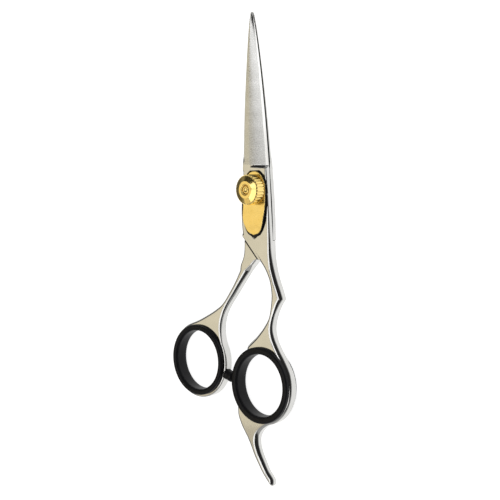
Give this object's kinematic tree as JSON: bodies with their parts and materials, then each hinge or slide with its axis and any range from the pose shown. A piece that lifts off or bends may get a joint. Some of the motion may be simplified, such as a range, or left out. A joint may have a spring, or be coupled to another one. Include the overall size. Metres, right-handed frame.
{
  "type": "hair cutting shears",
  "caption": "Hair cutting shears with slender offset handles, a curved finger rest, rubber ring inserts, and a round knob over a leaf tension plate.",
  "frame": {"origin": "where the pivot axis meets the flat surface that the closed shears lie on, at the back of the pivot bolt's head", "axes": "+Y along the closed blades to the tips, +Z along the pivot axis towards the tension knob, +X to the right of both"},
  "size_m": [0.0574, 0.1604, 0.0091],
  "materials": {
    "polished_steel": "mirror polished handles, satin ground blades",
    "pivot_steel": "turned and polished",
    "gold_plate": "polished gold coloured plating",
    "bushing_brass": "plain turned brass",
    "black_rubber": "soft satin black",
    "white_nylon": "plain natural nylon"
  },
  "bodies": {
    "finger_side": {"finger_half": "polished_steel", "finger_ring_insert": "black_rubber", "pivot_bushing": "bushing_brass", "glide_washer": "white_nylon", "tension_plate": "gold_plate", "plate_washer": "white_nylon"},
    "thumb_side": {"thumb_half": "polished_steel", "thumb_ring_insert": "black_rubber", "bumper_pad": "black_rubber", "bumper_stud": "pivot_steel", "pivot_bolt": "pivot_steel"},
    "knob_carriage": {"knob_spring": "pivot_steel"},
    "knob": {"tension_knob": "gold_plate", "knob_lock_ring": "white_nylon"}
  },
  "joints": [
    {"name": "blade_pivot", "type": "hinge", "parent": "finger_side", "child": "thumb_side", "pos_m": [0, 0, 0.0025], "axis": [0, 0, -1], "range_deg": [0, 90]},
    {"name": "knob_lift", "type": "slide", "parent": "thumb_side", "child": "knob_carriage", "axis": [0, 0, 1], "range_m": [0, 0.0005]},
    {"name": "knob_turn", "type": "hinge", "parent": "knob_carriage", "child": "knob", "pos_m": [0, 0, 0.006], "axis": [0, 0, 1], "range_deg": [0, 360]}
  ],
  "couplings": [
    {"joint": "knob_turn", "follows": "knob_lift", "rad_per_m": 12566}
  ]
}
